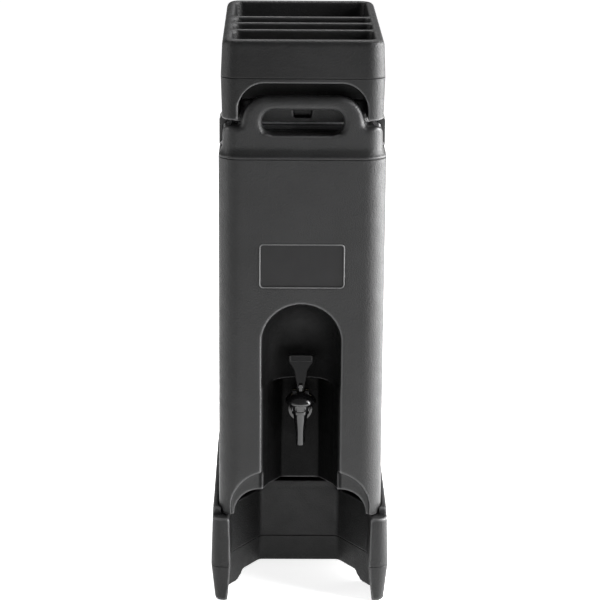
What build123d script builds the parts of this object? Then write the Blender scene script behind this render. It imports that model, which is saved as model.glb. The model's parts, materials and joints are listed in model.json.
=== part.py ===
# Insulated beverage carrier: a double-walled, foam-filled dispenser with a
# recessed spigot, standing in a raised pedestal (riser) and carrying a
# condiment holder on its lid.  Millimetres, +Z up, front towards -Y, origin on
# the floor under the centre of the riser.
from build123d import *
import os

os.makedirs("parts", exist_ok=True)

# ---------------------------------------------------------------- dimensions
# riser
RISER_W, RISER_L, RISER_R = 254.0, 438.0, 16.0
SPLIT_Z = 54.0                 # mould parting plane of the riser
DECK_Z = 126.5                 # where the dispenser stands
RIM_Z = 137.0                  # top of the retaining rim
FOOT_H = 13.6                  # gap under the walls between the feet
BOSS_Z = 139.0                 # top of the locating block
REC_FRONT, REC_KNEE, REC_BACK_X, REC_BACK_Y = 99.0, -161.0, 56.5, -92.5

SEAT_GAP = 0.3                 # gap left between stacked parts

# dispenser body
BODY_W, BODY_L, BODY_R = 232.0, 419.0, 30.0
LEDGE_Z, BLOCK_Z = 650.0, 658.0
UP_W, UP_L, UP_R = 221.0, 402.0, 20.0
BLOCK_TOP, DECK_TOP = 690.0, 680.0
NECK_TOP = 686.0
HANDLE_TOP, HANDLE_X, HANDLE_T = 731.0, 84.0, 26.0
HOLE_X, HOLE_Z0, HOLE_Z1 = 56.5, 678.0, 712.5
WALL = 4.0

# spigot niche
NICHE_R, NICHE_ZC, LIP_Z = 56.0, 384.6, 318.0
NICHE_BOTTOM = 164.0
FRONT_Y = -BODY_L / 2

# tank
TANK_X, TANK_Y, TANK_Z0, TANK_WALL = 81.0, 150.0, 236.0, 3.0

# lid
FLANGE_W, LID_W, LID_L, LID_R = 202.0, 193.0, 330.0, 22.0
LID_Z0, FLANGE_Z, LID_Z1, PAN_Z = 690.0, 696.5, 721.7, 710.0
PLUG_X, PLUG_Y, PLUG_Z = 75.0, 144.0, 662.0
VENT_Y, TUBE_R, VENT_R = 40.0, 10.0, 6.0

# latches
LATCH_Y, LATCH_W, PIVOT_X, PIVOT_Z = 121.0, 40.0, 110.3, 656.6
KNUCKLE_R, PIN_R, POCKET_X = 5.4, 1.6, 103.0

# condiment holder
TOP_W, TOP_L, TOP_R = 226.0, 398.0, 24.0
TOP_Z0, TOP_FLOOR, TOP_SPLIT, TOP_Z1 = 698.0, 722.0, 757.0, 809.0
ARCH_X, ARCH_Z = 89.0, 750.0
POCKETS = [(-185.0, -104.0), (-95.5, -39.0), (-30.5, 19.5), (28.0, 181.0)]
POCKET_Z, STEP_Z = 729.0, 757.0

# faucet
FAU_Y, SHANK_Z = -177.0, 269.4
SPOUT_Z, BONNET_Z0, BONNET_Z1 = 225.3, 277.5, 304.0
SHANK_R, STEM_R, PIN_Z = 12.0, 3.0, 310.5
LEVER_TOP, PADDLE_W = 358.4, 34.2
PANEL_Y = FRONT_Y + 63.7


def soften(edges, radii, what="edge"):
    """Rounds the edges with the first radius that holds."""
    for r in radii:
        try:
            fillet(edges, radius=r)
            return r
        except Exception:
            continue
    print(what, "left sharp", len(edges))
    return 0.0


def write(part, name):
    part.label = name
    export_step(part, "parts/%s.step" % name)


# --------------------------------------------------------------------- riser
def recess_pts(g):
    return [
        (-REC_FRONT - g, -260.0), (-REC_FRONT - g, REC_KNEE + g * 0.5),
        (-REC_BACK_X - g * 0.5, REC_BACK_Y + g), (REC_BACK_X + g * 0.5, REC_BACK_Y + g),
        (REC_FRONT + g, REC_KNEE + g * 0.5), (REC_FRONT + g, -260.0),
    ]


def recess_sketch(z, g):
    with BuildSketch(Plane.XY.offset(z)) as sk:
        with BuildLine():
            Polyline(*recess_pts(g), close=True)
        make_face()
        fillet(sk.vertices().group_by(Axis.Y)[-1], radius=9)
        fillet(sk.vertices().filter_by(lambda v: abs(v.Y - (REC_KNEE + g * 0.5)) < 0.1), radius=9)
    return sk.sketch


with BuildPart() as recess_tool:
    add(recess_sketch(SPLIT_Z, 0.0))
    add(recess_sketch(RIM_Z + 1, 2.2))
    loft(ruled=True)
with BuildPart() as recess_tool_low:
    add(recess_sketch(SPLIT_Z, 0.0))
    add(recess_sketch(-1.0, 5.0))
    loft(ruled=True)

with BuildPart() as riser_hollow:
    with BuildSketch(Plane.XY.offset(-1)):
        RectangleRounded(RISER_W - 30, RISER_L - 26, 8)
        with BuildLine():
            Polyline(*recess_pts(9), close=True)
        make_face(mode=Mode.SUBTRACT)
        with GridLocations(224, 386, 2, 2):
            Rectangle(60, 106, mode=Mode.SUBTRACT)
    extrude(amount=DECK_Z - 7 + 1)

with BuildPart() as riser:
    with BuildSketch(Plane.XY.offset(SPLIT_Z)):
        RectangleRounded(RISER_W, RISER_L, RISER_R)
    with BuildSketch(Plane.XY.offset(RIM_Z)):
        RectangleRounded(RISER_W - 5.0, RISER_L - 5.0, RISER_R - 2)
    loft(ruled=True)
    with BuildSketch(Plane.XY.offset(SPLIT_Z)):
        RectangleRounded(RISER_W, RISER_L, RISER_R)
    with BuildSketch(Plane.XY):
        RectangleRounded(RISER_W - 12.0, RISER_L - 4.0, RISER_R - 4)
    loft(ruled=True)
    # underside raised between the four corner feet
    with BuildSketch(Plane.XY):
        Rectangle(172, 600)
    with BuildSketch(Plane.XY.offset(FOOT_H)):
        Rectangle(150, 600)
    loft(ruled=True, mode=Mode.SUBTRACT)
    with BuildSketch(Plane.XY):
        Rectangle(400, 272)
    with BuildSketch(Plane.XY.offset(FOOT_H)):
        Rectangle(400, 250)
    loft(ruled=True, mode=Mode.SUBTRACT)
    soften(riser.faces().filter_by(Axis.Z).group_by(Axis.Z)[0].edges(), [5, 4, 3])
    # front recess for the cup
    add(recess_tool.part, mode=Mode.SUBTRACT)
    add(recess_tool_low.part, mode=Mode.SUBTRACT)
    # deck inside the rim, open to the front
    with BuildSketch(Plane.XY.offset(DECK_Z - SEAT_GAP)):
        RectangleRounded(BODY_W + 2.4, BODY_L + 3.0, 31)
    extrude(amount=40, mode=Mode.SUBTRACT)
    with BuildSketch(Plane.XY.offset(DECK_Z - SEAT_GAP)):
        with Locations((0, -250)):
            Rectangle(400, 104)
    extrude(amount=40, mode=Mode.SUBTRACT)
    # hollow underside, with a solid post left over each foot
    add(riser_hollow.part, mode=Mode.SUBTRACT)
    # locating block behind the recess, which enters the arch under the dispenser
    with BuildSketch(Plane.XY.offset(DECK_Z - 3)):
        with Locations((0, REC_BACK_Y + 2.4 + 16)):
            RectangleRounded(2 * REC_BACK_X - 1, 32, 5)
    extrude(amount=BOSS_Z - DECK_Z + 3)
    # the side walls draw in slightly towards the rear
    with BuildSketch(Plane.XY.offset(-1)):
        for side in (-1, 1):
            with BuildLine():
                Polyline((side * 127.6, -120), (side * 140, -120), (side * 140, 260), (side * 122.6, 260), close=True)
            make_face()
    extrude(amount=RIM_Z + 5, mode=Mode.SUBTRACT)
write(riser.part, "riser")

# ------------------------------------------------------- niche cutting tools
KNEE = (46.4, FRONT_Y + 32.2)
PANEL = (26.5, PANEL_Y)


def niche_low(grow):
    """Faceted lower part of the spigot niche, grown outwards by grow."""
    g = grow
    with BuildPart() as tool:
        with BuildSketch(Plane.XY.offset(LIP_Z)):
            with BuildLine():
                Polyline(
                    (-NICHE_R - g, FRONT_Y - 20), (-NICHE_R - g, FRONT_Y),
                    (-KNEE[0] - g, KNEE[1] + g * 0.3), (-PANEL[0] - g * 0.6, PANEL[1] + g),
                    (PANEL[0] + g * 0.6, PANEL[1] + g), (KNEE[0] + g, KNEE[1] + g * 0.3),
                    (NICHE_R + g, FRONT_Y), (NICHE_R + g, FRONT_Y - 20), close=True,
                )
            make_face()
        extrude(amount=-(LIP_Z - 100))
    return tool.part


def niche_dome(grow):
    """Domed upper part, turned about an axis just in front of the body."""
    r = NICHE_R + grow
    with BuildPart() as tool:
        with BuildSketch(Plane((0, FRONT_Y - 0.8, 0), x_dir=(0, -1, 0), z_dir=(-1, 0, 0))):
            with BuildLine():
                Line((0, LIP_Z - 2), (r, LIP_Z - 2))
                Line((r, LIP_Z - 2), (r, NICHE_ZC))
                CenterArc((0, NICHE_ZC), r, 0, 90)
                Line((0, NICHE_ZC + r), (0, LIP_Z - 2))
            make_face()
        revolve(axis=Axis((0, FRONT_Y - 0.8, 0), (0, 0, 1)))
    return tool.part


def arch_face(plane, half, top, radius, z_low):
    """Arch opening with a flat crown and round shoulders."""
    with BuildSketch(plane) as sk:
        with BuildLine():
            Polyline((-half, z_low), (-half, top), (half, top), (half, z_low), close=True)
        make_face()
        fillet(sk.vertices().group_by(Axis.Y)[-1], radius=radius)
    return sk.sketch


XZ_FRONT = Plane((0, FRONT_Y, 0), x_dir=(1, 0, 0), z_dir=(0, -1, 0))

# --------------------------------------------------------------- outer shell
with BuildPart() as foam_space:
    # hollow between the outer skin and the tank
    with BuildSketch(Plane.XY.offset(NICHE_BOTTOM + WALL)):
        RectangleRounded(BODY_W - 2 * WALL, BODY_L - 2 * WALL, BODY_R - WALL)
    extrude(amount=LEDGE_Z - 6 - NICHE_BOTTOM - WALL)
    with BuildSketch(Plane.XY.offset(LEDGE_Z - 6)):
        RectangleRounded(194, 348, 16)
    extrude(amount=DECK_TOP - WALL - LEDGE_Z + 6)
    add(niche_low(WALL), mode=Mode.SUBTRACT)
    add(niche_dome(WALL), mode=Mode.SUBTRACT)
    add(arch_face(XZ_FRONT, 99.0 + WALL, 193.6 + WALL, 58, 100))
    extrude(amount=10 + WALL, dir=(0, 1, 0), mode=Mode.SUBTRACT)


def handle_profile():
    """End block with its hand-hold loop, in the XZ plane."""
    hx = HANDLE_X
    with BuildSketch(Plane((0, 0, 0), x_dir=(1, 0, 0), z_dir=(0, -1, 0))) as sk:
        with BuildLine():
            Polyline(
                (-UP_W / 2, 640), (-UP_W / 2, BLOCK_TOP), (-hx, BLOCK_TOP), (-hx, HANDLE_TOP),
                (hx, HANDLE_TOP), (hx, BLOCK_TOP), (UP_W / 2, BLOCK_TOP), (UP_W / 2, 640), close=True,
            )
        make_face()
        fillet(sk.vertices().filter_by(lambda v: v.Y > HANDLE_TOP - 1), radius=34.5)
        fillet(sk.vertices().filter_by(lambda v: abs(v.Y - BLOCK_TOP) < 1 and abs(abs(v.X) - hx) < 1), radius=6)
        fillet(sk.vertices().filter_by(lambda v: abs(v.Y - BLOCK_TOP) < 1 and abs(v.X) > 105), radius=11)
        with Locations((0, (HOLE_Z0 + HOLE_Z1) / 2)):
            SlotOverall(2 * HOLE_X, HOLE_Z1 - HOLE_Z0, mode=Mode.SUBTRACT)
    return sk.sketch


PROFILE = handle_profile()


def end_block(sign):
    with BuildPart() as blk:
        add(PROFILE.moved(Location((0, sign * UP_L / 2, 0))))
        extrude(amount=HANDLE_T, dir=(0, -sign, 0))
        loops = blk.edges().filter_by(
            lambda e: abs(e.tangent_at(0.5).Y) < 0.05 and e.center().Z > 645)
        soften(loops, [8.0, 7.0, 6.0, 5.0, 4.0], "hand-hold")
    with BuildPart() as cut:
        with BuildSketch(Plane.XY.offset(600)):
            RectangleRounded(UP_W, UP_L, UP_R)
        extrude(amount=200)
        add(blk.part, mode=Mode.INTERSECT)
    return cut.part


with BuildPart() as outer_shell:
    with BuildSketch(Plane.XY.offset(DECK_Z)):
        RectangleRounded(BODY_W, BODY_L, BODY_R)
    extrude(amount=LEDGE_Z - DECK_Z)
    soften(outer_shell.faces().sort_by(Axis.Z)[-1].edges(), [1.6])
    with BuildSketch(Plane.XY.offset(LEDGE_Z)):
        RectangleRounded(BODY_W - 4.4, BODY_L - 4.4, BODY_R - 2)
    with BuildSketch(Plane.XY.offset(BLOCK_Z)):
        RectangleRounded(UP_W, UP_L, UP_R)
    loft(ruled=True)
    with BuildSketch(Plane.XY.offset(BLOCK_Z)):
        RectangleRounded(UP_W, UP_L, UP_R)
    extrude(amount=DECK_TOP - BLOCK_Z)
    # front and rear end blocks with the hand-holds
    add(end_block(-1))
    add(end_block(1))
    with BuildSketch(XZ_FRONT):
        with Locations((0, (HOLE_Z0 + HOLE_Z1) / 2)):
            SlotOverall(2 * HOLE_X, HOLE_Z1 - HOLE_Z0)
    extrude(amount=BODY_L / 2 - 172, dir=(0, 1, 0), mode=Mode.SUBTRACT)
    with BuildSketch(Plane((0, BODY_L / 2, 0), x_dir=(1, 0, 0), z_dir=(0, -1, 0))):
        with Locations((0, (HOLE_Z0 + HOLE_Z1) / 2)):
            SlotOverall(2 * HOLE_X, HOLE_Z1 - HOLE_Z0)
    extrude(amount=BODY_L / 2 - 172, dir=(0, -1, 0), mode=Mode.SUBTRACT)
    # side pockets for the latches
    for sx in (-1, 1):
        for sy in (-1, 1):
            with Locations((sx * (POCKET_X + 20), sy * LATCH_Y, LEDGE_Z + 0.2 + 25)):
                Box(40, LATCH_W + 20, 50, mode=Mode.SUBTRACT)
    # niche and the arched cut-away under it
    add(niche_low(0.0), mode=Mode.SUBTRACT)
    add(niche_dome(0.0), mode=Mode.SUBTRACT)
    add(arch_face(XZ_FRONT, 99.0, 193.6, 55.5, 100))
    extrude(amount=10, dir=(0, 1, 0), mode=Mode.SUBTRACT)
    add(arch_face(XZ_FRONT, 94.0, NICHE_BOTTOM, 36, 100))
    extrude(amount=BODY_L - 28, dir=(0, 1, 0), mode=Mode.SUBTRACT)
    # label recess
    with BuildSketch(XZ_FRONT):
        with Locations((0, 496)):
            RectangleRounded(117, 61.5, 5)
    extrude(amount=1.6, dir=(0, 1, 0), mode=Mode.SUBTRACT)
    # hollow for foam and tank, and the mouth
    add(foam_space.part, mode=Mode.SUBTRACT)
    with BuildSketch(Plane.XY.offset(DECK_TOP - 20)):
        RectangleRounded(2 * TANK_X, 2 * TANK_Y, 30)
    extrude(amount=40, mode=Mode.SUBTRACT)
    # spigot hole
    with BuildSketch(Plane((0, PANEL_Y - 5, 0), x_dir=(1, 0, 0), z_dir=(0, -1, 0))):
        with Locations((0, SHANK_Z)):
            Circle(14.0)
    extrude(amount=40, dir=(0, 1, 0), mode=Mode.SUBTRACT)

# ---------------------------------------------------------------------- tank


def tank_body(off):
    """Outer form of the tank, shrunk by off; the front steps back over the niche."""
    with BuildPart() as tb:
        with BuildSketch(Plane.YZ):
            with BuildLine():
                Polyline(
                    (-TANK_Y + off, NECK_TOP), (-TANK_Y + off, 480 + off * 0.4), (-116 + off, 446 + off * 0.4),
                    (-116 + off, TANK_Z0 + off), (TANK_Y - off, TANK_Z0 + off), (TANK_Y - off, NECK_TOP), close=True,
                )
            make_face()
        extrude(amount=TANK_X - off, both=True)
        soften(tb.edges().filter_by(Axis.Z), [30 - off])
        soften(tb.faces().sort_by(Axis.Z)[0].edges(), [14 - off, 8, 5])
    return tb.part


tank_out = tank_body(0.0)
tank_in = tank_body(TANK_WALL)

with BuildPart() as inner_tank:
    add(tank_out)
    # neck rim that lies on the body's deck
    with BuildSketch(Plane.XY.offset(DECK_TOP)):
        RectangleRounded(2 * TANK_X + 24, 2 * TANK_Y + 24, 38)
    extrude(amount=NECK_TOP - DECK_TOP)
    soften(inner_tank.faces().sort_by(Axis.Z)[-1].outer_wire().edges(), [2.0])
    add(tank_in, mode=Mode.SUBTRACT)
    with BuildSketch(Plane((0, -125, 0), x_dir=(1, 0, 0), z_dir=(0, -1, 0))):
        with Locations((0, SHANK_Z)):
            Circle(12.4)
    extrude(amount=25, dir=(0, 1, 0), mode=Mode.SUBTRACT)
write(inner_tank.part, "inner_tank")

with BuildPart() as foam_core:
    add(foam_space.part)
    with BuildSketch(Plane.XY.offset(DECK_TOP - 20)):
        RectangleRounded(2 * TANK_X, 2 * TANK_Y, 30)
    extrude(amount=40, mode=Mode.SUBTRACT)
    add(tank_out, mode=Mode.SUBTRACT)
    with BuildSketch(Plane((0, PANEL_Y - 5, 0), x_dir=(1, 0, 0), z_dir=(0, -1, 0))):
        with Locations((0, SHANK_Z)):
            Circle(14.0)
    extrude(amount=40, dir=(0, 1, 0), mode=Mode.SUBTRACT)
write(foam_core.part, "foam_core")

with BuildPart() as label_plate:
    with BuildSketch(Plane((0, FRONT_Y + 1.6, 0), x_dir=(1, 0, 0), z_dir=(0, -1, 0))):
        with Locations((0, 496)):
            RectangleRounded(115.4, 59.9, 4.2)
    extrude(amount=0.8, dir=(0, -1, 0))
write(label_plate.part, "label_plate")

# ------------------------------------------------------------------- faucet
FRONT_PLANE = Plane((0, 0, 0), x_dir=(1, 0, 0), z_dir=(0, -1, 0))


def disc_y(y0, y1, r_out, r_in, z=SHANK_Z):
    """Ring along Y between y0 and y1."""
    with BuildPart() as ring:
        with BuildSketch(Plane((0, y0, 0), x_dir=(1, 0, 0), z_dir=(0, -1, 0))):
            with Locations((0, z)):
                Circle(r_out)
                if r_in:
                    Circle(r_in, mode=Mode.SUBTRACT)
        extrude(amount=y1 - y0, dir=(0, 1, 0))
    return ring.part


def turned(points, y=FAU_Y):
    """Solid of revolution about a vertical axis at (0, y) from (r, z) points."""
    with BuildPart() as body:
        with BuildSketch(Plane((0, y, 0), x_dir=(1, 0, 0), z_dir=(0, -1, 0))):
            with BuildLine():
                Polyline(*points, close=True)
            make_face()
        revolve(axis=Axis((0, y, 0), (0, 0, 1)))
    return body.part


with BuildPart() as faucet_body:
    # barrel, taper and outlet, turned in one
    add(turned([(0, SPOUT_Z), (6.4, SPOUT_Z), (6.8, SPOUT_Z + 1.0), (6.8, 246.5), (10.4, 271), (12.2, 271.8),
                (12.2, 276.2), (11.4, 277), (11.4, 293), (0, 293)]))
    add(disc_y(FAU_Y, PANEL_Y - 5.6, 8.0, 0))
    add(disc_y(PANEL_Y - 5.6, PANEL_Y - 1.6, 17.0, 0))
    add(disc_y(PANEL_Y - 1.6, -98.0, SHANK_R, 0))
    # waterway through the shank, chamber and outlet
    add(disc_y(FAU_Y + 4, -97.0, 5.6, 0), mode=Mode.SUBTRACT)
    add(turned([(0, 263), (8.0, 263), (8.0, 294), (0, 294)]), mode=Mode.SUBTRACT)
    add(turned([(0, 224), (4.6, 224), (4.6, 264), (0, 264)]), mode=Mode.SUBTRACT)
write(faucet_body.part, "faucet_body")

with BuildPart() as faucet_washer:
    add(disc_y(PANEL_Y - 1.6, PANEL_Y, 16.0, SHANK_R))
write(faucet_washer.part, "faucet_washer")
with BuildPart() as tank_washer:
    add(disc_y(-113.0, -111.0, 14.0, SHANK_R))
write(tank_washer.part, "tank_washer")
with BuildPart() as faucet_nut:
    with BuildSketch(Plane((0, -111, 0), x_dir=(1, 0, 0), z_dir=(0, -1, 0))):
        with Locations((0, SHANK_Z)):
            RegularPolygon(17.5, 6)
            Circle(SHANK_R, mode=Mode.SUBTRACT)
    extrude(amount=8, dir=(0, 1, 0))
write(faucet_nut.part, "faucet_nut")
with BuildPart() as shank_sleeve:
    add(disc_y(PANEL_Y, -116.0, 14.0, SHANK_R))
write(shank_sleeve.part, "shank_sleeve")

with BuildPart() as faucet_bonnet:
    add(turned([(11.4, BONNET_Z0), (14.0, BONNET_Z0), (16.2, 286), (21.5, 288.5), (22.0, 290), (21.4, 293.5),
                (19, 297), (14, 301), (9, 303.5), (6, BONNET_Z1), (STEM_R + 0.06, BONNET_Z1), (STEM_R + 0.06, 293),
                (11.4, 293)]))
    # grip ribs round the skirt and two lugs beside the lever
    with Locations((0, FAU_Y, 282)):
        with PolarLocations(14.6, 10):
            Cylinder(1.3, 8)
    with Locations((-8.75, FAU_Y, 304), (8.75, FAU_Y, 304)):
        Box(5.5, 13, 6.0)
write(faucet_bonnet.part, "faucet_bonnet")

with BuildPart() as faucet_stem:
    add(turned([(0, 264), (STEM_R, 264), (STEM_R, 305.2), (0, 305.2)]))
    with Locations((0, FAU_Y, 309.6)):
        Box(4.6, 6.0, 9.4)
    with BuildSketch(Plane.YZ):
        with Locations((FAU_Y, PIN_Z)):
            Circle(1.3)
    extrude(amount=10, both=True, mode=Mode.SUBTRACT)
write(faucet_stem.part, "faucet_stem")

with BuildPart() as seat_cup:
    add(turned([(0, 263.2), (7.0, 263.2), (7.0, 267.5), (4.5, 269), (STEM_R, 269),
                (STEM_R, 264), (0, 264)]))
write(seat_cup.part, "seat_cup")
with BuildPart() as seat_bellows:
    add(turned([(STEM_R + 0.6, 269), (4.5, 269), (7.2, 272.5), (4.9, 276), (7.2, 279.5), (4.9, 283), (7.2, 286.5), (7.2, 292.7),
                (5.8, 292.7), (5.8, 287), (3.6, 283), (5.8, 279.5), (3.6, 276), (5.8, 272.5)]))
write(seat_bellows.part, "seat_bellows")

with BuildPart() as faucet_lever:
    half = [(5.0, 306.5), (5.0, 314), (6.8, 320), (8.2, 328.8), (9.0, 335), (12.5, 342), (16.0, 346.3),
            (PADDLE_W / 2, 348.5), (PADDLE_W / 2, LEVER_TOP)]
    with BuildSketch(Plane((0, FAU_Y - 2.7, 0), x_dir=(1, 0, 0), z_dir=(0, -1, 0))):
        with BuildLine():
            Polyline(*half, *[(-x, z) for x, z in reversed(half)], close=True)
        make_face()
    extrude(amount=5.4, dir=(0, 1, 0))
    soften(faucet_lever.edges().filter_by(lambda e: e.center().Z > 315 and abs(e.tangent_at(0.5).Y) < 0.1),
           [1.2, 0.8, 0.5], "lever")
    with Locations((0, FAU_Y, 310.5)):
        Box(5.4, 12, 13.4, mode=Mode.SUBTRACT)
    with BuildSketch(Plane.YZ):
        with Locations((FAU_Y, PIN_Z)):
            Circle(1.25)
    extrude(amount=10, both=True, mode=Mode.SUBTRACT)
write(faucet_lever.part, "faucet_lever")
with BuildPart() as lever_pin:
    with BuildSketch(Plane.YZ.offset(-4.9)):
        with Locations((FAU_Y, PIN_Z)):
            Circle(1.25)
    extrude(amount=9.8)
write(lever_pin.part, "lever_pin")

# ---------------------------------------------------------------------- lid


def notch(grow, z0):
    """Finger notch in the end walls of the lid."""
    with BuildPart() as cut:
        with BuildSketch(Plane((0, -LID_L / 2 - 5, 0), x_dir=(1, 0, 0), z_dir=(0, -1, 0))):
            with BuildLine():
                Polyline((-12 - grow, z0), (12 + grow, z0), (17.0 + grow, 730), (-17.0 - grow, 730), close=True)
            make_face()
        extrude(amount=5 + 11 + grow, dir=(0, 1, 0))
        mirror(about=Plane.XZ)
    return cut.part


with BuildPart() as lid_cavity:
    with BuildSketch(Plane.XY.offset(LID_Z0)):
        RectangleRounded(LID_W - 8, LID_L - 8, LID_R - 4)
    extrude(amount=PAN_Z - 3.5 - LID_Z0)
    with BuildSketch(Plane.XY.offset(PAN_Z - 4)):
        RectangleRounded(LID_W - 8, LID_L - 8, LID_R - 4)
        RectangleRounded(152 + 8, 262 + 8, 24, mode=Mode.SUBTRACT)
    extrude(amount=LID_Z1 - 4 - PAN_Z + 4)
    add(notch(4.0, 692.5), mode=Mode.SUBTRACT)

with BuildPart() as lid_shell:
    with BuildSketch(Plane.XY.offset(LID_Z0)):
        RectangleRounded(FLANGE_W, LID_L, LID_R + 2)
    extrude(amount=FLANGE_Z - LID_Z0)
    with BuildSketch(Plane.XY.offset(FLANGE_Z)):
        RectangleRounded(LID_W, LID_L, LID_R)
    extrude(amount=LID_Z1 - FLANGE_Z)
    soften(lid_shell.faces().sort_by(Axis.Z)[-1].edges(), [5.0, 4.0, 3.0], "lid top")
    with BuildSketch(Plane.XY.offset(PAN_Z)):
        RectangleRounded(152, 262, 20)
    extrude(amount=30, mode=Mode.SUBTRACT)
    add(notch(0.0, 696.5), mode=Mode.SUBTRACT)
    add(lid_cavity.part, mode=Mode.SUBTRACT)
    with Locations((0, VENT_Y, 700)):
        Cylinder(TUBE_R, 60, mode=Mode.SUBTRACT)
    with GridLocations(193 + 20, 2 * LATCH_Y, 2, 2):
        with Locations((0, 0, 693)):
            Box(20, LATCH_W + 6, 8.4, mode=Mode.SUBTRACT)
write(lid_shell.part, "lid_shell")

with BuildPart() as lid_liner:
    with BuildSketch(Plane.XY.offset(LID_Z0)):
        RectangleRounded(LID_W - 8, LID_L - 8, LID_R - 4)
    extrude(amount=3.0)
    with BuildSketch(Plane.XY.offset(PLUG_Z)):
        RectangleRounded(2 * PLUG_X, 2 * PLUG_Y, 26)
    extrude(amount=LID_Z0 - PLUG_Z)
    soften(lid_liner.faces().sort_by(Axis.Z)[0].edges(), [6, 4], "plug")
    with BuildSketch(Plane.XY.offset(PLUG_Z + 3)):
        RectangleRounded(2 * PLUG_X - 6, 2 * PLUG_Y - 6, 23)
    extrude(amount=60, mode=Mode.SUBTRACT)
    add(notch(4.0, 692.5), mode=Mode.SUBTRACT)
    with Locations((0, VENT_Y, 700)):
        Cylinder(TUBE_R, 120, mode=Mode.SUBTRACT)
write(lid_liner.part, "lid_liner")

with BuildPart() as lid_foam:
    add(lid_cavity.part)
    with BuildSketch(Plane.XY.offset(LID_Z0)):
        RectangleRounded(LID_W - 7, LID_L - 7, LID_R - 4)
    extrude(amount=3.0, mode=Mode.SUBTRACT)
    with BuildSketch(Plane.XY.offset(PLUG_Z + 3)):
        RectangleRounded(2 * PLUG_X - 6, 2 * PLUG_Y - 6, 23)
    extrude(amount=LID_Z0 + 5 - PLUG_Z - 3)
    with Locations((0, VENT_Y, 700)):
        Cylinder(TUBE_R, 120, mode=Mode.SUBTRACT)
write(lid_foam.part, "lid_foam")

with BuildPart() as lid_gasket:
    with BuildSketch(Plane.XY.offset(NECK_TOP + SEAT_GAP)):
        RectangleRounded(2 * TANK_X + 20, 2 * TANK_Y + 14, 34)
        RectangleRounded(2 * PLUG_X, 2 * PLUG_Y, 26, mode=Mode.SUBTRACT)
    extrude(amount=LID_Z0 - NECK_TOP - SEAT_GAP)
write(lid_gasket.part, "lid_gasket")

with BuildPart() as vent_tube:
    with Locations((0, VENT_Y, (PLUG_Z + PAN_Z + 1) / 2)):
        Cylinder(TUBE_R, PAN_Z + 1 - PLUG_Z)
        Cylinder(VENT_R + 0.05, 200, mode=Mode.SUBTRACT)
write(vent_tube.part, "vent_tube")
with BuildPart() as vent_cap:
    with BuildSketch(Plane.XY.offset(684)):
        with Locations((0, VENT_Y)):
            Circle(VENT_R)
    extrude(amount=28)
    with BuildSketch(Plane.XY.offset(711.5)):
        with Locations((0, VENT_Y)):
            Circle(19)
    extrude(amount=3.4)
    soften(vent_cap.faces().sort_by(Axis.Z)[-1].edges(), [1.2], "vent cap")
    with Locations((0, VENT_Y, 716.5)):
        Box(6, 34, 6)
write(vent_cap.part, "vent_cap")

# ------------------------------------------------------------------ latches
with BuildPart() as latch_keepers:
    with BuildSketch(Plane.XZ.offset(-(LATCH_Y + LATCH_W / 2 - 1))):
        with BuildLine():
            Polyline((96.5, 689.0), (100.0, 681.5), (104.0, 681.5), (104.0, 686.0), (98.2, 692.4), (96.5, 692.4), close=True)
        make_face()
    extrude(amount=LATCH_W - 2)
    mirror(about=Plane.YZ)
    mirror(about=Plane.XZ)


def latch(sx, sy):
    """Over-centre latch on one side, hooked on its keeper."""
    pts = [(PIVOT_X, PIVOT_Z - 1), (PIVOT_X + KNUCKLE_R, PIVOT_Z), (PIVOT_X + KNUCKLE_R, 689.5), (111.5, 695.2), (109.5, 696.4),
           (102.0, 696.4), (99.8, 694.6), (99.8, 691.4), (105.4, 685.2), (109.4, 682.6), (110.4, 679), (110.4, PIVOT_Z)]
    with BuildPart() as lt:
        with BuildSketch(Plane((0, sy * LATCH_Y - LATCH_W / 2, 0), x_dir=(1, 0, 0), z_dir=(0, -1, 0))):
            with BuildLine():
                Polyline(*[(sx * x, z) for x, z in pts], close=True)
            make_face()
            with Locations((sx * PIVOT_X, PIVOT_Z)):
                Circle(KNUCKLE_R)
                Circle(PIN_R + 0.05, mode=Mode.SUBTRACT)
        extrude(amount=LATCH_W, dir=(0, 1, 0))
    return lt.part


for name, sx, sy in (("latch_front_left", -1, -1), ("latch_front_right", 1, -1),
                     ("latch_rear_left", -1, 1), ("latch_rear_right", 1, 1)):
    write(latch(sx, sy), name)

with BuildPart() as latch_pins:
    with BuildSketch(Plane.XZ.offset(-(LATCH_Y + LATCH_W / 2 + 4.6))):
        with Locations((PIVOT_X, PIVOT_Z)):
            Circle(PIN_R)
    extrude(amount=LATCH_W + 9.2)
    mirror(about=Plane.YZ)
    mirror(about=Plane.XZ)
write(latch_pins.part, "latch_pins")

with BuildPart() as latch_brackets:
    with Locations((POCKET_X + 0.7, LATCH_Y, 664.5)):
        Box(1.4, LATCH_W + 9, 27)
    for side in (-1, 1):
        with BuildSketch(Plane.XZ.offset(-(LATCH_Y + side * (LATCH_W / 2 + 2.4) + 2.0))):
            with BuildLine():
                Polyline((POCKET_X, 652), (PIVOT_X, 652.4), (PIVOT_X + 4.2, PIVOT_Z), (PIVOT_X, 661), (POCKET_X, 672), close=True)
            make_face()
            with Locations((PIVOT_X, PIVOT_Z)):
                Circle(PIN_R, mode=Mode.SUBTRACT)
        extrude(amount=4.0)
    mirror(about=Plane.YZ)
    mirror(about=Plane.XZ)


def screws_x(x_in, x_out, ys, z, head_r, body_r, head_t):
    """Countersunk-style screws along X on both sides, at each of ys."""
    with BuildPart() as sc:
        for y in ys:
            with BuildSketch(Plane.YZ.offset(x_in)):
                with Locations((y, z)):
                    Circle(body_r)
            extrude(amount=x_out - x_in)
            with BuildSketch(Plane.YZ.offset(x_out)):
                with Locations((y, z)):
                    Circle(head_r)
            extrude(amount=head_t, taper=30)
        mirror(about=Plane.YZ)
    return sc.part


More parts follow.
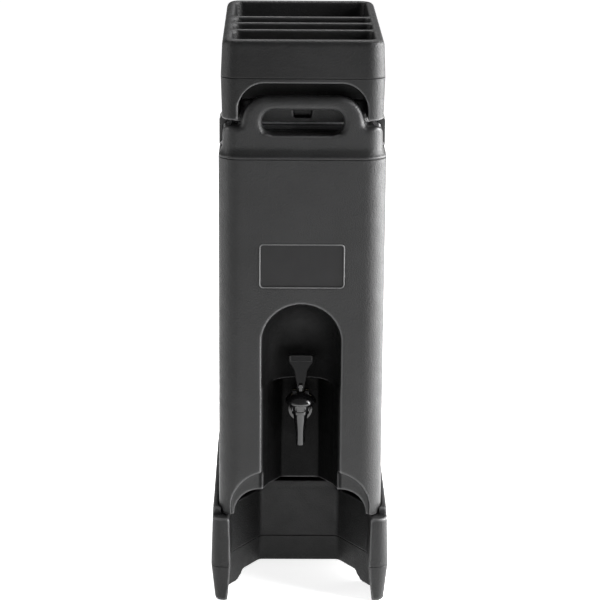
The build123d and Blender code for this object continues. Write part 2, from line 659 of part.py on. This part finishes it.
BRACKET_YS = [s1 * LATCH_Y + s2 * 12 for s1 in (-1, 1) for s2 in (-1, 1)]
latch_screws = screws_x(POCKET_X - 5.5, POCKET_X + 1.4, BRACKET_YS, 671, 3.0, 1.6, 1.2)
write(latch_screws, "latch_screws")

with BuildPart() as bracket_cut:
    add(latch_brackets.part)
    add(latch_screws, mode=Mode.SUBTRACT)
write(bracket_cut.part, "latch_brackets")
write(latch_keepers.part, "latch_keepers")

with BuildPart() as shell_cut:
    add(outer_shell.part)
    add(latch_screws, mode=Mode.SUBTRACT)
write(shell_cut.part, "outer_shell")

# --------------------------------------------------------- condiment holder
with BuildPart() as condiment_holder:
    with BuildSketch(Plane.XY.offset(TOP_Z0)):
        RectangleRounded(TOP_W - 3.5, TOP_L - 3.5, TOP_R - 2)
    with BuildSketch(Plane.XY.offset(TOP_SPLIT)):
        RectangleRounded(TOP_W, TOP_L, TOP_R)
    loft(ruled=True)
    with BuildSketch(Plane.XY.offset(TOP_SPLIT)):
        RectangleRounded(TOP_W, TOP_L, TOP_R)
    with BuildSketch(Plane.XY.offset(TOP_Z1)):
        RectangleRounded(TOP_W - 4.5, TOP_L - 4.0, TOP_R - 2)
    loft(ruled=True)
    soften(condiment_holder.faces().sort_by(Axis.Z)[-1].edges(), [9, 7, 5], "holder rim")
    for i, (y0, y1) in enumerate(POCKETS):
        yc, ly = (y0 + y1) / 2, y1 - y0
        with BuildSketch(Plane.XY.offset(TOP_Z1 + 1)):
            with Locations((0, yc)):
                RectangleRounded(2 * 98.5, ly, 12)
        with BuildSketch(Plane.XY.offset(STEP_Z if i in (0, 3) else POCKET_Z)):
            with Locations((0, yc)):
                RectangleRounded(2 * 95.0, ly - 7, 10)
        loft(ruled=True, mode=Mode.SUBTRACT)
    # deeper middle of the two end pockets
    for y0, y1 in ((-158.0, -110.0), (34.0, 158.0)):
        with BuildSketch(Plane.XY.offset(POCKET_Z)):
            with Locations((0, (y0 + y1) / 2)):
                RectangleRounded(2 * 95.0, y1 - y0, 10)
        extrude(amount=STEP_Z - POCKET_Z + 2, mode=Mode.SUBTRACT)
    rims = condiment_holder.edges().filter_by(lambda e: e.center().Z > TOP_Z1 - 1 and abs(e.center().X) < 99.5 and abs(e.center().Y) < 188)
    soften(rims, [3.5, 3.0, 2.0, 1.2], "pocket rims")
    # seat over the lid
    with BuildSketch(Plane.XY.offset(TOP_Z0 - 1)):
        RectangleRounded(LID_W + 3, LID_L + 6, LID_R)
    extrude(amount=TOP_FLOOR - TOP_Z0 + 1, mode=Mode.SUBTRACT)
    # arches over the carrying handles
    add(arch_face(Plane((0, -260, 0), x_dir=(1, 0, 0), z_dir=(0, -1, 0)), ARCH_X, ARCH_Z, 37, 690))
    extrude(amount=260 - 166, dir=(0, 1, 0), mode=Mode.SUBTRACT)
    add(arch_face(Plane((0, 166, 0), x_dir=(1, 0, 0), z_dir=(0, -1, 0)), ARCH_X, ARCH_Z, 37, 690))
    extrude(amount=260 - 166, dir=(0, 1, 0), mode=Mode.SUBTRACT)
write(condiment_holder.part, "condiment_holder")
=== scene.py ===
"""Looks of the insulated beverage dispenser on its riser, with the condiment holder on top."""
import json
import math

import bmesh
import bpy
from mathutils import Matrix, Vector


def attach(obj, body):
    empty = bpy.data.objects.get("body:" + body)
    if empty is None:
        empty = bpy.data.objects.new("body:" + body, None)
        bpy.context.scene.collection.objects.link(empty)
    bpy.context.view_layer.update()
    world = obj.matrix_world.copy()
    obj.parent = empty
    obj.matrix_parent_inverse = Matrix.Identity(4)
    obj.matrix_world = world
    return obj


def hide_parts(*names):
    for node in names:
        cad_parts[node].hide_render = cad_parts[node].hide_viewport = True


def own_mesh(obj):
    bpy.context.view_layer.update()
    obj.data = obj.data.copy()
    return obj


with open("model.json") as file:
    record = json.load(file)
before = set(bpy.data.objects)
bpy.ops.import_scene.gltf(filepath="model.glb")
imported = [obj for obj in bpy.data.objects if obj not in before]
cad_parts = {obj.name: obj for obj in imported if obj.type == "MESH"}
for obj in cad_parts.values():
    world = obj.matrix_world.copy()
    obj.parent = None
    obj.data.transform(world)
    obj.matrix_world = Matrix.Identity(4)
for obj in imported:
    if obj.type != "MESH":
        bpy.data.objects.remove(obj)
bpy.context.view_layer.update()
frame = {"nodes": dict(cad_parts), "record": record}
record = frame["record"]
nodes = frame["nodes"]

scene = bpy.context.scene
MM = 0.001


# ------------------------------------------------------------------ materials
def new_mat(name):
    m = bpy.data.materials.new(name)
    m.use_nodes = True
    nt = m.node_tree
    for n in list(nt.nodes):
        nt.nodes.remove(n)
    out = nt.nodes.new("ShaderNodeOutputMaterial")
    bsdf = nt.nodes.new("ShaderNodeBsdfPrincipled")
    nt.links.new(bsdf.outputs[0], out.inputs[0])
    return m, nt, bsdf


def noise(nt, vec, scale, detail=3.0, rough=0.5):
    n = nt.nodes.new("ShaderNodeTexNoise")
    n.inputs["Scale"].default_value = scale
    n.inputs["Detail"].default_value = detail
    n.inputs["Roughness"].default_value = rough
    nt.links.new(vec, n.inputs["Vector"])
    return n


def ramp(nt, fac, stops):
    r = nt.nodes.new("ShaderNodeValToRGB")
    el = r.color_ramp.elements
    while len(el) < len(stops):
        el.new(0.5)
    for e, (p, c) in zip(el, stops):
        e.position = p
        e.color = (*c, 1.0) if len(c) == 3 else c
    nt.links.new(fac, r.inputs["Fac"])
    return r


def maprange(nt, val, a, b, c, d):
    r = nt.nodes.new("ShaderNodeMapRange")
    for k, v in zip(("From Min", "From Max", "To Min", "To Max"), (a, b, c, d)):
        r.inputs[k].default_value = v
    nt.links.new(val, r.inputs["Value"])
    return r


def math_node(nt, op, a, b=None):
    m = nt.nodes.new("ShaderNodeMath")
    m.operation = op
    for i, v in enumerate((a, b)):
        if v is None:
            continue
        if isinstance(v, (int, float)):
            m.inputs[i].default_value = v
        else:
            nt.links.new(v, m.inputs[i])
    return m.outputs[0]


def coords(nt):
    tc = nt.nodes.new("ShaderNodeTexCoord")
    return tc.outputs["Object"]


def pebble(name, base, rough=0.46, grain=470.0, depth=0.00050, seams=(), niche=False, spec=0.34, edge=(0.512, 0.545)):
    """Rotomoulded polyethylene: pebble grain, faint mottling, scuffs and parting lines, with optional painted shade
    inside the tap recess and a painted highlight on convex edges.
    """
    m, nt, b = new_mat(name)
    vec = coords(nt)
    big = noise(nt, vec, 9.0, 4.0, 0.55)
    fine = noise(nt, vec, grain * 3.1, 2.0, 0.6)
    r = ramp(nt, big.outputs["Fac"], [
        (0.30, [c * (1 - 0.22) for c in base]), (0.72, [min(1, c * 1.30 + 0.001) for c in base])])
    colour = r.outputs["Color"]
    sheen = None
    if niche:
        # painted shade: the inside of the tap recess is darkened in colour and specular level, most strongly low down
        sp = nt.nodes.new("ShaderNodeSeparateXYZ")
        nt.links.new(vec, sp.inputs[0])
        inside = maprange(nt, sp.outputs["Y"], -0.2062, -0.1985, 0.0, 1.0).outputs["Result"]
        within = maprange(nt, math_node(nt, "ABSOLUTE", sp.outputs["X"]), 0.0575, 0.0600, 1.0, 0.0).outputs["Result"]
        below = maprange(nt, sp.outputs["Z"], 0.442, 0.447, 1.0, 0.0).outputs["Result"]
        ahead = maprange(nt, sp.outputs["Y"], -0.030, -0.020, 1.0, 0.0).outputs["Result"]
        mask = math_node(nt, "MULTIPLY", math_node(nt, "MULTIPLY", inside, within), below)
        mask = math_node(nt, "MULTIPLY", mask, ahead)
        low = maprange(nt, sp.outputs["Z"], 0.300, 0.400, 1.0, 0.72).outputs["Result"]
        recess_painted_shade = math_node(nt, "SUBTRACT", 1.0, math_node(nt, "MULTIPLY", mask, math_node(nt, "MULTIPLY", low, 0.78)))
        mix = nt.nodes.new("ShaderNodeVectorMath")
        mix.operation = "SCALE"
        nt.links.new(colour, mix.inputs[0])
        nt.links.new(recess_painted_shade, mix.inputs["Scale"])
        colour = mix.outputs[0]
        sheen = math_node(nt, "MULTIPLY", recess_painted_shade, spec)
    # painted highlight: convex edges, found by pointiness, are made lighter in colour and higher in specular level
    geo = nt.nodes.new("ShaderNodeNewGeometry")
    painted_edge_highlight = maprange(nt, geo.outputs["Pointiness"], edge[0], edge[1], 0.0, 1.0).outputs["Result"]
    blend = nt.nodes.new("ShaderNodeMix")
    blend.data_type = "RGBA"
    nt.links.new(painted_edge_highlight, blend.inputs[0])
    nt.links.new(colour, blend.inputs[6])
    blend.inputs[7].default_value = (0.036, 0.036, 0.037, 1.0)
    nt.links.new(blend.outputs[2], b.inputs["Base Color"])
    vor = nt.nodes.new("ShaderNodeTexVoronoi")
    vor.feature = "SMOOTH_F1"
    vor.inputs["Scale"].default_value = grain
    vor.inputs["Smoothness"].default_value = 0.7
    nt.links.new(vec, vor.inputs["Vector"])
    wear = noise(nt, vec, 46.0, 5.0, 0.65)
    rg = maprange(nt, wear.outputs["Fac"], 0.3, 0.75, rough - 0.07, rough + 0.10)
    nt.links.new(rg.outputs["Result"], b.inputs["Roughness"])
    h = math_node(nt, "MULTIPLY", vor.outputs["Distance"], 1.0)
    h = math_node(nt, "ADD", h, math_node(nt, "MULTIPLY", fine.outputs["Fac"], 0.55))
    bump = nt.nodes.new("ShaderNodeBump")
    bump.inputs["Strength"].default_value = 0.75
    bump.inputs["Distance"].default_value = depth
    nt.links.new(h, bump.inputs["Height"])
    last = bump
    if seams:
        sep = nt.nodes.new("ShaderNodeSeparateXYZ")
        nt.links.new(vec, sep.inputs[0])
        line = None
        for z, half in seams:
            d = math_node(nt, "ABSOLUTE", math_node(nt, "SUBTRACT", sep.outputs["Z"], z))
            mr = maprange(nt, d, 0.0, half, 1.0, 0.0).outputs["Result"]
            line = mr if line is None else math_node(nt, "MAXIMUM", line, mr)
        b2 = nt.nodes.new("ShaderNodeBump")
        b2.invert = True
        b2.inputs["Strength"].default_value = 1.0
        b2.inputs["Distance"].default_value = 0.0014
        nt.links.new(line, b2.inputs["Height"])
        nt.links.new(bump.outputs["Normal"], b2.inputs["Normal"])
        last = b2
    nt.links.new(last.outputs["Normal"], b.inputs["Normal"])
    if sheen is None:
        sheen = spec
    # the specular level carries the painted edge highlight and, on the shell, the painted recess shade
    shine = math_node(nt, "ADD", math_node(nt, "MULTIPLY", painted_edge_highlight, 0.35), sheen)
    nt.links.new(shine, b.inputs["Specular IOR Level"])
    return m


def gloss(name, base, rough=0.14, wave=0.00005, coat=0.3):
    m, nt, b = new_mat(name)
    vec = coords(nt)
    n = noise(nt, vec, 60.0, 4.0, 0.6)
    r = ramp(nt, n.outputs["Fac"], [(0.3, [c * 0.85 for c in base]), (0.75, [c * 1.2 for c in base])])
    nt.links.new(r.outputs["Color"], b.inputs["Base Color"])
    rg = maprange(nt, n.outputs["Fac"], 0.3, 0.75, rough - 0.03, rough + 0.08)
    nt.links.new(rg.outputs["Result"], b.inputs["Roughness"])
    bump = nt.nodes.new("ShaderNodeBump")
    bump.inputs["Strength"].default_value = 0.25
    bump.inputs["Distance"].default_value = wave
    nt.links.new(noise(nt, vec, 220.0, 2.0).outputs["Fac"], bump.inputs["Height"])
    nt.links.new(bump.outputs["Normal"], b.inputs["Normal"])
    b.inputs["Coat Weight"].default_value = coat
    b.inputs["Coat Roughness"].default_value = 0.08
    return m


def steel(name):
    m, nt, b = new_mat(name)
    vec = coords(nt)
    mp = nt.nodes.new("ShaderNodeMapping")
    mp.inputs["Scale"].default_value = (1.0, 18.0, 1.0)
    nt.links.new(vec, mp.inputs["Vector"])
    n = noise(nt, mp.outputs["Vector"], 420.0, 4.0, 0.6)
    r = ramp(nt, n.outputs["Fac"], [(0.3, (0.50, 0.50, 0.51)), (0.7, (0.68, 0.68, 0.69))])
    nt.links.new(r.outputs["Color"], b.inputs["Base Color"])
    rg = maprange(nt, n.outputs["Fac"], 0.3, 0.7, 0.24, 0.38)
    nt.links.new(rg.outputs["Result"], b.inputs["Roughness"])
    b.inputs["Metallic"].default_value = 1.0
    return m


def rubbery(name, base, rough=0.7):
    m, nt, b = new_mat(name)
    vec = coords(nt)
    n = noise(nt, vec, 160.0, 4.0, 0.6)
    r = ramp(nt, n.outputs["Fac"], [(0.3, [c * 0.85 for c in base]), (0.75, [min(1, c * 1.15) for c in base])])
    nt.links.new(r.outputs["Color"], b.inputs["Base Color"])
    rg = maprange(nt, n.outputs["Fac"], 0.3, 0.7, rough - 0.08, rough + 0.08)
    nt.links.new(rg.outputs["Result"], b.inputs["Roughness"])
    bump = nt.nodes.new("ShaderNodeBump")
    bump.inputs["Strength"].default_value = 0.3
    bump.inputs["Distance"].default_value = 0.0002
    nt.links.new(n.outputs["Fac"], bump.inputs["Height"])
    nt.links.new(bump.outputs["Normal"], b.inputs["Normal"])
    return m


PE = (0.0074, 0.0075, 0.0077)
# the shell material carries the painted shade inside the tap recess
mat_shell = pebble("shell_pe", PE, seams=[(0.6465, 0.0013)], niche=True, spec=0.26)
mat_riser = pebble("riser_pe", [c * 0.85 for c in PE], seams=[(0.0540, 0.0012)], spec=0.22)
mat_holder = pebble("holder_pe", [c * 0.70 for c in PE], seams=[(0.7570, 0.0012)], spec=0.19)
mat_lid = pebble("lid_pe", [c * 0.9 for c in PE], rough=0.42)
mat_bead = gloss("bead_satin", (0.060, 0.060, 0.061), rough=0.30, wave=0.0001, coat=0.2)
mat_liner = gloss("liner_pe", (0.030, 0.031, 0.032), rough=0.38, wave=0.0002, coat=0.0)
mat_label = gloss("label_panel", (0.0060, 0.0060, 0.0063), rough=0.42, wave=0.0001, coat=0.0)
mat_label.node_tree.nodes["Principled BSDF"].inputs["Specular IOR Level"].default_value = 0.22
mat_gloss = gloss("faucet_gloss", (0.0035, 0.0035, 0.0038), rough=0.13, coat=0.0)
mat_lever = gloss("lever_satin", (0.003, 0.003, 0.0032), rough=0.30, coat=0.0)
mat_lever.node_tree.nodes["Principled BSDF"].inputs["Specular IOR Level"].default_value = 0.10
mat_latch = gloss("latch_nylon", (0.013, 0.013, 0.0135), rough=0.30, wave=0.0001, coat=0.1)
mat_sil = rubbery("silicone", (0.26, 0.26, 0.27))
mat_rub = rubbery("rubber_black", (0.02, 0.02, 0.02))
mat_steel = steel("stainless")
mat_foam = rubbery("foam", (0.72, 0.62, 0.38), 0.85)

BY_SLOT = {
    "shell_plastic": mat_shell, "riser_plastic": mat_riser, "holder_plastic": mat_holder,
    "liner_plastic": mat_liner, "label": mat_label, "faucet_plastic": mat_gloss,
    "latch_plastic": mat_latch, "silicone": mat_sil, "rubber": mat_rub, "steel": mat_steel, "foam": mat_foam,
}
slot_of = {s["node"]: s["material_slot"] for s in record["subparts"]}
for name, o in nodes.items():
    o.data.materials.clear()
    o.data.materials.append(BY_SLOT[slot_of[name]])
nodes["lid_shell"].data.materials[0] = mat_lid
nodes["faucet_lever"].data.materials[0] = mat_lever


# ------------------------------------------------------------------ modifiers
def soft_moulding(name, voxel, iters, factor=0.5):
    """Rounds every edge of a moulding the way hot polyethylene leaves it."""
    o = nodes[name]
    r = o.modifiers.new("skin", "REMESH")
    r.mode = "VOXEL"
    r.voxel_size = voxel
    r.use_smooth_shade = True
    s = o.modifiers.new("soften", "SMOOTH")
    s.factor = factor
    s.iterations = iters
    return o


def crisp(name, width, segments=2, angle=32):
    """Small even bevels on a turned or moulded piece."""
    o = nodes[name]
    w = o.modifiers.new("weld", "WELD")
    w.merge_threshold = 0.00002
    b = o.modifiers.new("bevel", "BEVEL")
    b.width = width
    b.segments = segments
    b.limit_method = "ANGLE"
    b.angle_limit = math.radians(angle)
    b.use_clamp_overlap = True
    for p in o.data.polygons:
        p.use_smooth = True
    b.harden_normals = False
    return o


soft_moulding("outer_shell", 0.0016, 9)
soft_moulding("riser", 0.0016, 7)
soft_moulding("condiment_holder", 0.0015, 5)
soft_moulding("lid_shell", 0.0014, 3)
for n in ("latch_front_left", "latch_front_right", "latch_rear_left", "latch_rear_right"):
    soft_moulding(n, 0.0007, 3)

for n in ("faucet_body", "faucet_bonnet", "faucet_lever"):
    crisp(n, 0.00045)


# ----------------------------------------------------------- scene-made pieces
def tube_loop(name, points, radius, sides=10):
    """A thin closed bead swept along a flat loop that faces -Y."""
    mesh = bpy.data.meshes.new(name)
    b = bmesh.new()
    rings = []
    count = len(points)
    for i, p in enumerate(points):
        before, after = Vector(points[i - 1]), Vector(points[(i + 1) % count])
        along = (after - before).normalized()
        out = along.cross(Vector((0, 1, 0))).normalized()
        rings.append([b.verts.new(Vector(p) + radius * (math.cos(a) * out + math.sin(a) * Vector((0, 1, 0))))
                      for a in (2 * math.pi * k / sides for k in range(sides))])
    for i in range(count):
        r0, r1 = rings[i], rings[(i + 1) % count]
        for k in range(sides):
            b.faces.new((r0[k], r0[(k + 1) % sides], r1[(k + 1) % sides], r1[k]))
    bmesh.ops.recalc_face_normals(b, faces=b.faces)
    for f in b.faces:
        f.smooth = True
    b.to_mesh(mesh)
    b.free()
    o = bpy.data.objects.new(name, mesh)
    scene.collection.objects.link(o)
    return o


def round_rect(hw, hh, r, y, zc, steps=10):
    pts = []
    for cx, cz, a0 in ((hw - r, hh - r, 0), (-hw + r, hh - r, 90), (-hw + r, -hh + r, 180), (hw - r, -hh + r, 270)):
        for k in range(steps + 1):
            a = math.radians(a0 + 90 * k / steps)
            pts.append((cx + r * math.cos(a), y, zc + cz + r * math.sin(a)))
    return pts


bead = tube_loop("label_bead", round_rect(0.0585, 0.03075, 0.005, -0.2097, 0.496), 0.0009)
bead.data.materials.append(mat_bead)
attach(bead, "dispenser")

rim = tube_loop("paddle_rim", round_rect(0.0153, 0.0040, 0.0008, -0.17975, 0.3536, 5), 0.00035, 8)
rim.data.materials.append(mat_gloss)
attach(rim, "faucet_lever")

# the bellows over the stem, turned as one fixed shape; the real one shortens as the stem rises
BELLOWS = [(3.6, 269.0), (4.5, 269.0), (7.2, 272.5), (4.9, 276.0), (7.2, 279.5), (4.9, 283.0), (7.2, 286.5), (7.2, 292.7),
           (5.8, 292.7), (5.8, 287.0), (3.6, 283.0), (5.8, 279.5), (3.6, 276.0), (5.8, 272.5)]


def turned(name, profile, y, sides=48):
    """A closed ring turned about a vertical axis at (0, y), from (radius, height) in mm."""
    mesh = bpy.data.meshes.new(name)
    b = bmesh.new()
    rings = []
    for k in range(sides):
        a = 2 * math.pi * k / sides
        rings.append([b.verts.new((r * MM * math.cos(a), y + r * MM * math.sin(a), z * MM)) for r, z in profile])
    for k in range(sides):
        r0, r1 = rings[k], rings[(k + 1) % sides]
        for i in range(len(profile)):
            j = (i + 1) % len(profile)
            b.faces.new((r0[i], r1[i], r1[j], r0[j]))
    bmesh.ops.recalc_face_normals(b, faces=b.faces)
    for f in b.faces:
        f.smooth = True
    b.to_mesh(mesh)
    b.free()
    o = bpy.data.objects.new(name, mesh)
    scene.collection.objects.link(o)
    return o


bellows = turned("bellows_skin", BELLOWS, -0.177)
bellows.data.materials.append(mat_sil)
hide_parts("seat_bellows")
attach(bellows, "dispenser")
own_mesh(bellows)

# ----------------------------------------------------------- camera and light
cam_data = bpy.data.cameras.new("camera")
cam = bpy.data.objects.new("camera", cam_data)
scene.collection.objects.link(cam)
scene.camera = cam
cam_data.sensor_width = 36.0
cam_data.lens = 140.0
cam_data.shift_x = 0.0028
cam_data.shift_y = 0.0012
cam_data.clip_start, cam_data.clip_end = 0.05, 60.0
cam.location = (-0.040, -3.340, 1.303)
pitch, head, roll = math.radians(15.3), math.radians(0.647), math.radians(0.42)
rot = Matrix.Rotation(-head, 3, "Z") @ Matrix.Rotation(math.radians(90) - pitch, 3, "X") @ Matrix.Rotation(roll, 3, "Z")
cam.rotation_euler = rot.to_euler()

world = bpy.data.worlds.new("studio")
scene.world = world
world.use_nodes = True
bg = world.node_tree.nodes["Background"]
bg.inputs["Color"].default_value = (1.0, 1.0, 1.0, 1.0)
bg.inputs["Strength"].default_value = 0.22


def area(name, loc, target, size, size_y, power):
    d = bpy.data.lights.new(name, "AREA")
    d.shape = "RECTANGLE"
    d.size, d.size_y = size, size_y
    d.energy = power
    o = bpy.data.objects.new(name, d)
    scene.collection.objects.link(o)
    o.location = loc
    o.rotation_euler = (Vector(target) - Vector(loc)).to_track_quat("-Z", "Y").to_euler()
    return o


area("key_right", (1.9, -0.05, 0.85), (0, -0.1, 0.45), 2.5, 2.1, 340)
area("rim_left", (-2.2, -0.2, 0.9), (0, -0.1, 0.45), 1.3, 1.8, 30)
area("top_back", (0.0, 0.9, 2.5), (0, -0.1, 0.75), 1.8, 1.2, 46)

me = bpy.data.meshes.new("floor")
bm = bmesh.new()
vs = [bm.verts.new((x, y, -0.0002)) for x, y in ((-14, -8), (14, -8), (14, 20), (-14, 20))]
bm.faces.new(vs)
bm.to_mesh(me)
bm.free()
floor = bpy.data.objects.new("floor", me)
scene.collection.objects.link(floor)
fm, fnt, fb = new_mat("floor_white")
fn = noise(fnt, coords(fnt), 3.0)
fr = ramp(fnt, fn.outputs["Fac"], [(0.3, (0.93, 0.93, 0.93)), (0.7, (0.95, 0.95, 0.95))])
fnt.links.new(fr.outputs["Color"], fb.inputs["Base Color"])
fb.inputs["Roughness"].default_value = 0.8
fnt.links.new(fr.outputs["Color"], fb.inputs["Emission Color"])
fb.inputs["Emission Strength"].default_value = 0.86
me.materials.append(fm)

scene.view_settings.view_transform = "Standard"
